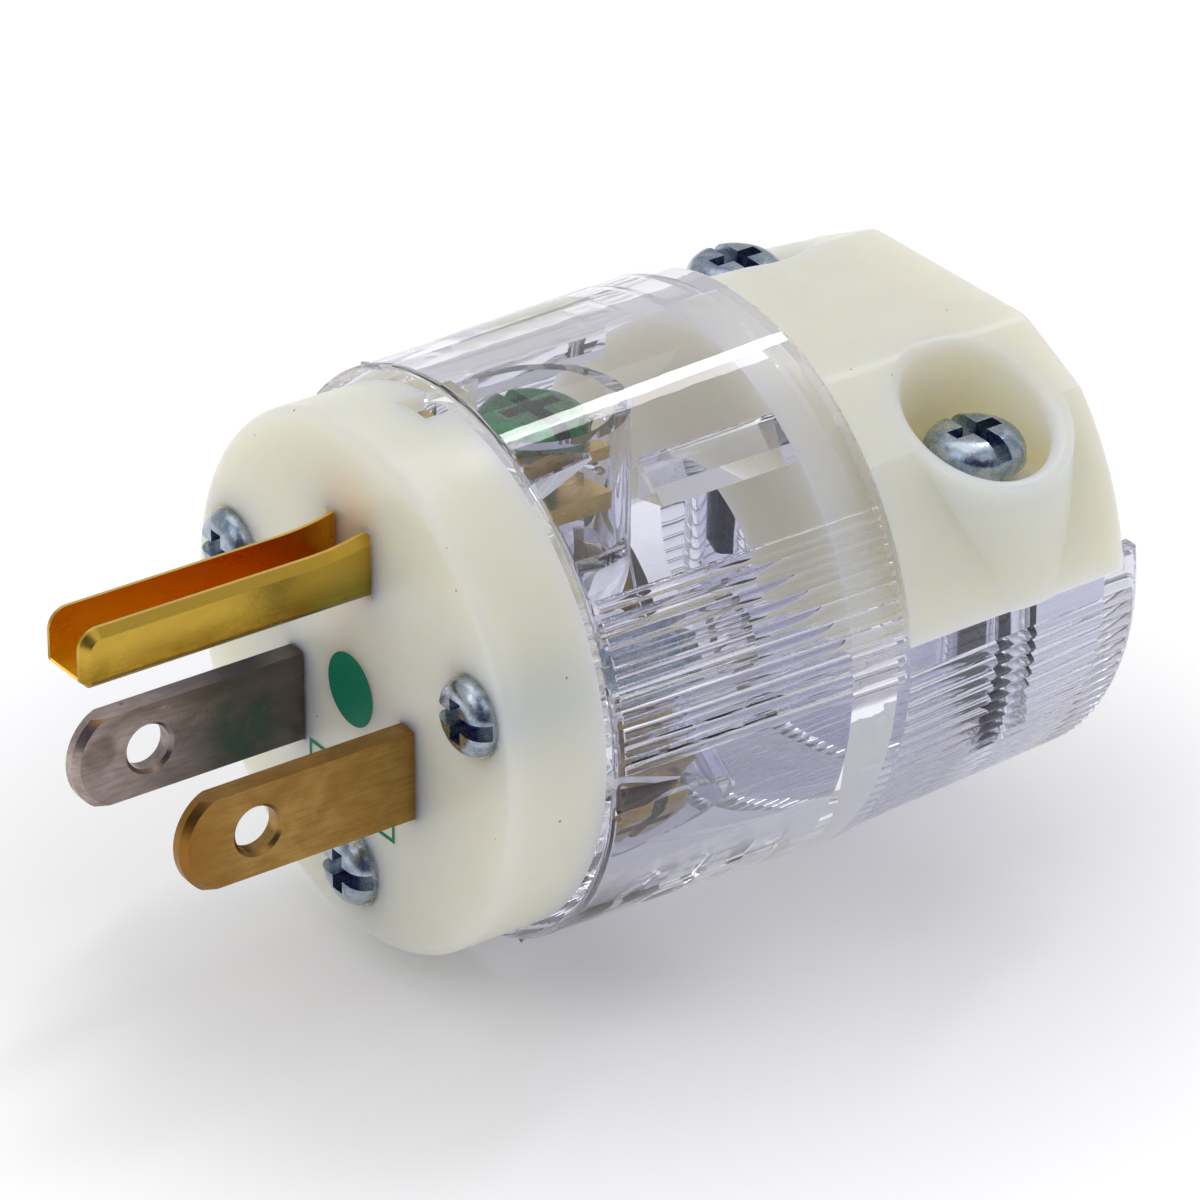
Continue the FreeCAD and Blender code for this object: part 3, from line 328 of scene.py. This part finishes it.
def zinc():
    """Bright zinc plate, bluish, with painted shade: deep blue in the driver recesses and dark on the clamp
    screws' shanks.
    """
    f = Finish("zinc", metallic=1.0)
    cloud = f.noise(1.3, 4, 0.6, distortion=0.5)
    tone = f.mix(f.step(cloud, 0.35, 0.7), ZINC_PALE, ZINC_DARK)
    # Painted shade: the clamp screws' shanks, low down at the rear, are near black
    low, rear = f.step(f.axis("Z"), 6.5, 7.5, 1.0, 0.0), f.step(f.axis("Y"), 30.0, 31.0)
    tone = f.mix(f.both(low, rear), tone, ZINC_SHANK_PAINTED_SHADE)
    # Painted shade in the driver recesses
    for centre, radius in SCREW_RECESSES:
        tone = f.mix(f.spot(centre, radius, 0.35), tone, ZINC_RECESS_PAINTED_SHADE)
    fine = f.noise(0.22, 3)
    rough = f.step(fine, 0.3, 0.7, 0.2, 0.34)
    return f.set(base_color=tone, roughness=rough, normal=f.bump(fine, 0.01)).material


def green_plate():
    """Green dyed plating of the ground screw."""
    f = Finish("green_plate", metallic=1.0, coat_weight=0.15, coat_roughness=0.12)
    tone = f.mix(f.step(f.noise(1.2, 4), 0.3, 0.7), GREEN_PALE, GREEN_DARK)
    rough = f.step(f.noise(0.3, 3), 0.3, 0.7, 0.2, 0.35)
    return f.set(base_color=tone, roughness=rough, normal=f.bump(f.noise(0.3, 2), 0.01)).material


def print_ink():
    """Green pad-printed ink, a little thin in places."""
    f = Finish("print_ink", specular_ior_level=0.2)
    tone = f.mix(f.noise(0.9, 4, 0.7), INK_DARK, INK_PALE)
    rough = f.step(f.noise(0.2, 3), 0.3, 0.7, 0.4, 0.55)
    return f.set(base_color=tone, roughness=rough).material


def floor_finish():
    """Pale paper under the plug that turns into a plain white glow away from it; the glow is dimmer close
    under the plug, a painted shadow.
    """
    f = Finish("floor_paper", specular_ior_level=0.1, roughness=0.8, emission_color=WHITE)
    f.material.cycles.emission_sampling = "NONE"
    paper = f.mix(f.noise(40, 1), PAPER_DARK, PAPER_PALE)
    away = f.step(f.spot(UNDER_PLUG, 66, 0.4), 0.0, 1.0, 1.0, 0.0)
    # Painted shadow: the floor's glow is dimmer close under the plug
    under = f.step(f.spot(UNDER_PLUG, 75, 0.75), 0.0, 1.0, 0.42, 0.16)
    glow = f.maths("ADD", under, f.both(away, 0.64))
    return f.set(base_color=f.mix(away, paper, BLACK), emission_strength=glow).material


def dress(material, *names):
    """Gives CAD nodes their material."""
    for name in names:
        for slot in nodes[name].material_slots:
            slot.material = material


def finish_mesh(name, mesh_builder, material):
    """A new mesh object from a bmesh, in the shared frame."""
    mesh = bpy.data.meshes.new(name)
    mesh_builder.to_mesh(mesh)
    mesh_builder.free()
    thing = bpy.data.objects.new(name, mesh)
    mesh.materials.append(material)
    scene.collection.objects.link(thing)
    return thing


def rectangle(low, high, inset=0.0):
    """The corners of a rectangle, moved inwards by the inset."""
    left, bottom, right, top = low[0] + inset, low[1] + inset, high[0] - inset, high[1] - inset
    return [(left, bottom), (right, bottom), (right, top), (left, top)]


def make_floor():
    """Pale floor just under the lowest point of the housing."""
    level = cad_box[0][2] - FLOOR_GAP
    shape = bmesh.new()
    corners = rectangle((-FLOOR_HALF, -FLOOR_HALF), (FLOOR_HALF, FLOOR_HALF))
    shape.faces.new([shape.verts.new((x, y, level)) for x, y in corners])
    floor = finish_mesh("floor", shape, floor_finish())


def make_light(name, place, target, size, power):
    data = bpy.data.lights.new(name, "AREA")
    data.shape = "RECTANGLE"
    data.size, data.size_y = size
    data.energy = power
    light = bpy.data.objects.new(name, data)
    scene.collection.objects.link(light)
    away = Vector(place) - Vector(target)
    light.matrix_world = Matrix.Translation(place) @ away.to_track_quat("Z", "Y").to_matrix().to_4x4()


def make_studio():
    """White room light with a darker, cooler side, and the soft boxes."""
    world = bpy.data.worlds.new("studio")
    scene.world = world
    world.use_nodes = True
    tree = world.node_tree
    towards = tree.nodes.new("ShaderNodeTexCoord").outputs["Generated"]
    dark_side = tree.nodes.new("ShaderNodeVectorMath")
    dark_side.operation = "DOT_PRODUCT"
    tree.links.new(towards, dark_side.inputs[0])
    dark_side.inputs[1].default_value = DARK_SIDE
    shades = tree.nodes.new("ShaderNodeValToRGB")
    tree.links.new(dark_side.outputs["Value"], shades.inputs["Fac"])
    first, last = shades.color_ramp.elements
    first.position, first.color = 0.30, ROOM_BRIGHT
    last.position, last.color = 0.88, ROOM_DARK
    background = tree.nodes["Background"]
    tree.links.new(shades.outputs["Color"], background.inputs["Color"])
    background.inputs["Strength"].default_value = ROOM_STRENGTH
    for name, settings in LIGHTS.items():
        make_light(name, *settings)


def set_render_look():
    """Plain colour response and enough light paths for the clear plastic."""
    scene.view_settings.view_transform = "Standard"
    scene.view_settings.look = "None"
    scene.cycles.max_bounces = LIGHT_PATHS
    scene.cycles.transmission_bounces = LIGHT_PATHS
    scene.cycles.transparent_max_bounces = LIGHT_PATHS
    scene.cycles.glossy_bounces = LIGHT_PATHS
    scene.cycles.diffuse_bounces = 2
    scene.cycles.blur_glossy = 0.5
    scene.cycles.sample_clamp_indirect = 6.0


def disc(name, radius, level, material, centre, segments=96):
    """A thin printed disc on the face."""
    shape = bmesh.new()
    ring = []
    for i in range(segments):
        angle = 2 * math.pi * i / segments
        ring.append(shape.verts.new((
            centre[0] + radius * math.cos(angle), level, centre[1] + radius * math.sin(angle),
        )))
    shape.faces.new(ring)
    return finish_mesh(name, shape, material)


def border(name, low, high, width, level, material):
    """A thin printed outline of a rectangle on the face."""
    shape = bmesh.new()
    loops = [
        [shape.verts.new((x, level, z)) for x, z in rectangle(low, high, inset)] for inset in (0.0, width)
    ]
    for i in range(4):
        j = (i + 1) % 4
        shape.faces.new([loops[0][i], loops[0][j], loops[1][j], loops[1][i]])
    return finish_mesh(name, shape, material)


make_camera()
make_floor()
make_studio()
set_render_look()

dress(nylon(), "front_face", "cord_clamp")
dress(clear_plastic(), "housing", "terminal_carrier")
dress(blade_brass(), "hot_blade")
dress(pin_brass(), "ground_blade", "ground_clamp_plate", "hot_clamp_plate", "neutral_clamp_plate",
      "hot_terminal_screw")
dress(nickel(), "neutral_blade", "neutral_terminal_screw")
dress(zinc(), "assembly_screws", "clamp_screws")
dress(green_plate(), "ground_terminal_screw")

ink = print_ink()
dot = disc("green_dot", DOT_RADIUS, PRINT_LEVEL, ink, DOT_CENTRE)
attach(dot, "root")
outline = border("green_outline", OUTLINE_LOW, OUTLINE_HIGH, OUTLINE_WIDTH, PRINT_LEVEL, ink)
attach(outline, "root")
